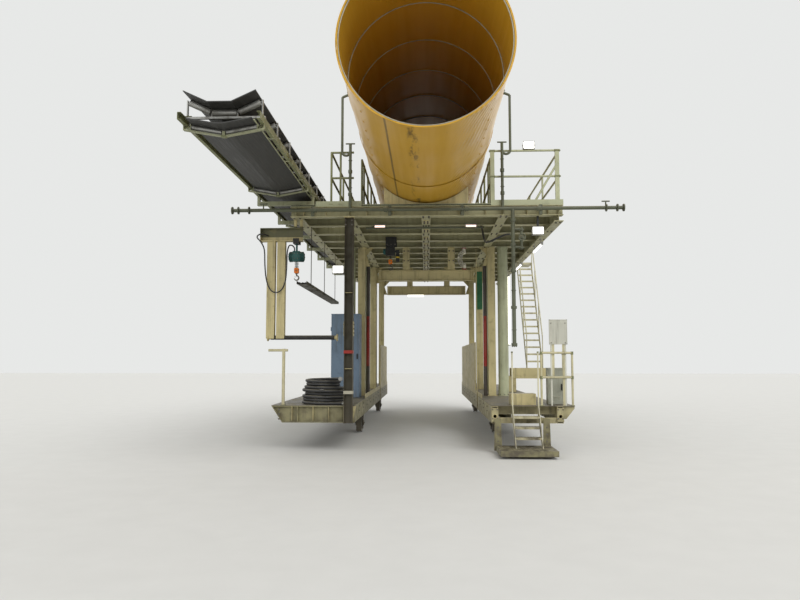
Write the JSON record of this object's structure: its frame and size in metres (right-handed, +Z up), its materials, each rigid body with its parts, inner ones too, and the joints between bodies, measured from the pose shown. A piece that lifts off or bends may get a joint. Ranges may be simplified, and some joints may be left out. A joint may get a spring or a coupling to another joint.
{
  "type": "rear backup gantry of a tunnel boring machine",
  "caption": "Railbound portal car that trails behind a tunnel boring machine: side decks on flanged wheels, upper deck with air duct, belt conveyor, spray arch, hoists and stairs.",
  "frame": {"origin": "on the rail tops' level less the wheel flanges, under the middle of the part's length and width", "axes": "+Y from the rear stair towards the tunnel face, +X to the right as seen from the rear, +Z up"},
  "size_m": [7.56, 17.0449, 7.2595],
  "materials": {
    "cream_paint": "worn, dusty",
    "grey_green_paint": "worn, dusty",
    "pipe_green_paint": "worn, dusty",
    "dark_brown_paint": "worn, dusty",
    "red_paint": "worn, dusty",
    "teal_paint": "satin",
    "orange_paint": "satin",
    "black_paint": "satin",
    "grey_paint": "satin",
    "blue_grey_paint": "satin",
    "plate_steel": "dirty",
    "wheel_steel": "worn tread",
    "roll_steel": "dirty",
    "duct_fabric": "coated, part glossy",
    "belt_rubber": "matte",
    "hose_rubber": "matte",
    "sign_metal": "faded",
    "lamp_body": "satin",
    "lamp_tube": "translucent"
  },
  "bodies": {
    "gantry": {"left_deck_frame": "cream_paint", "left_deck_floor": "plate_steel", "right_deck_frame": "cream_paint", "right_deck_floor": "plate_steel", "wheel_boxes_left": "dark_brown_paint", "wheel_boxes_right": "dark_brown_paint", "posts_left": "cream_paint", "posts_right": "cream_paint", "round_columns": "grey_green_paint", "hung_frames": "cream_paint", "rear_post": "dark_brown_paint", "upper_frame": "cream_paint", "upper_floor": "plate_steel", "upper_rails_left": "grey_green_paint", "upper_rails_right": "grey_green_paint", "duct_rails": "grey_green_paint", "duct_cradle": "cream_paint", "duct": "duct_fabric", "conveyor_stringers": "grey_green_paint", "conveyor_frame": "grey_green_paint", "conveyor_idlers": "roll_steel", "conveyor_belt": "belt_rubber", "spray_pipes": "pipe_green_paint", "cable_tray": "dark_brown_paint", "jib_frame": "cream_paint", "hoist_left": "teal_paint", "foot_platform": "cream_paint", "rear_stair": "grey_green_paint", "step_box": "cream_paint", "deck_rails": "grey_green_paint", "sign_board": "sign_metal", "tool_cabinet": "grey_paint", "switch_cabinet": "blue_grey_paint", "landing": "cream_paint", "upper_stair": "cream_paint", "side_guards": "cream_paint", "standpipes": "red_paint", "flood_lamps": "lamp_body", "tube_lamps": "lamp_tube", "hose_tap": "roll_steel", "hose_run": "hose_rubber", "hose_coil": "hose_rubber", "hose_end": "roll_steel", "hoist_cable": "hose_rubber", "spray_hose": "hose_rubber"},
    "wheel_rear_left": {"wheel_rear_left": "wheel_steel"},
    "wheel_rear_right": {"wheel_rear_right": "wheel_steel"},
    "wheel_front_left": {"wheel_front_left": "wheel_steel"},
    "wheel_front_right": {"wheel_front_right": "wheel_steel"},
    "hook_left": {"hook_left": "orange_paint"},
    "trolley": {"hoist_trolley": "black_paint"},
    "hook_right": {"hook_right": "orange_paint"},
    "tool_door": {"tool_cabinet_door": "grey_paint"},
    "switch_door": {"switch_cabinet_door": "blue_grey_paint"},
    "tow_left": {"tow_link_left": "dark_brown_paint"},
    "tow_right": {"tow_link_right": "dark_brown_paint"}
  },
  "joints": [
    {"name": "wheel_rear_left_spin", "type": "hinge", "parent": "gantry", "child": "wheel_rear_left", "pos_m": [-1.635, -0.2225, 0.225], "axis": [1, 0, 0], "continuous": true},
    {"name": "wheel_rear_right_spin", "type": "hinge", "parent": "gantry", "child": "wheel_rear_right", "pos_m": [1.635, -0.2225, 0.225], "axis": [1, 0, 0], "continuous": true},
    {"name": "wheel_front_left_spin", "type": "hinge", "parent": "gantry", "child": "wheel_front_left", "pos_m": [-1.635, 6.4275, 0.225], "axis": [1, 0, 0], "continuous": true},
    {"name": "wheel_front_right_spin", "type": "hinge", "parent": "gantry", "child": "wheel_front_right", "pos_m": [1.635, 6.4275, 0.225], "axis": [1, 0, 0], "continuous": true},
    {"name": "hook_left_swivel", "type": "hinge", "parent": "gantry", "child": "hook_left", "pos_m": [-2.57, -3.7825, 3.525], "axis": [0, 0, 1], "continuous": true},
    {"name": "trolley_travel", "type": "slide", "parent": "gantry", "child": "trolley", "axis": [1, 0, 0], "range_m": [-0.44, 0.58]},
    {"name": "hook_right_swivel", "type": "hinge", "parent": "trolley", "child": "hook_right", "pos_m": [-0.84, -1.1725, 4.025], "axis": [0, 0, 1], "continuous": true},
    {"name": "tool_door_hinge", "type": "hinge", "parent": "gantry", "child": "tool_door", "pos_m": [2.3865, -3.4828, 1.225], "axis": [0, 0, 1], "range_deg": [-110, 0]},
    {"name": "switch_door_hinge", "type": "hinge", "parent": "gantry", "child": "switch_door", "pos_m": [-2.2285, -1.1928, 1.825], "axis": [0, 0, 1], "range_deg": [-110, 0]},
    {"name": "tow_left_pin", "type": "hinge", "parent": "gantry", "child": "tow_left", "pos_m": [-1.69, 7.5525, 0.715], "axis": [0, 0, 1], "range_deg": [-35, 35]},
    {"name": "tow_right_pin", "type": "hinge", "parent": "gantry", "child": "tow_right", "pos_m": [1.69, 7.5525, 0.715], "axis": [0, 0, 1], "range_deg": [-35, 35]}
  ]
}
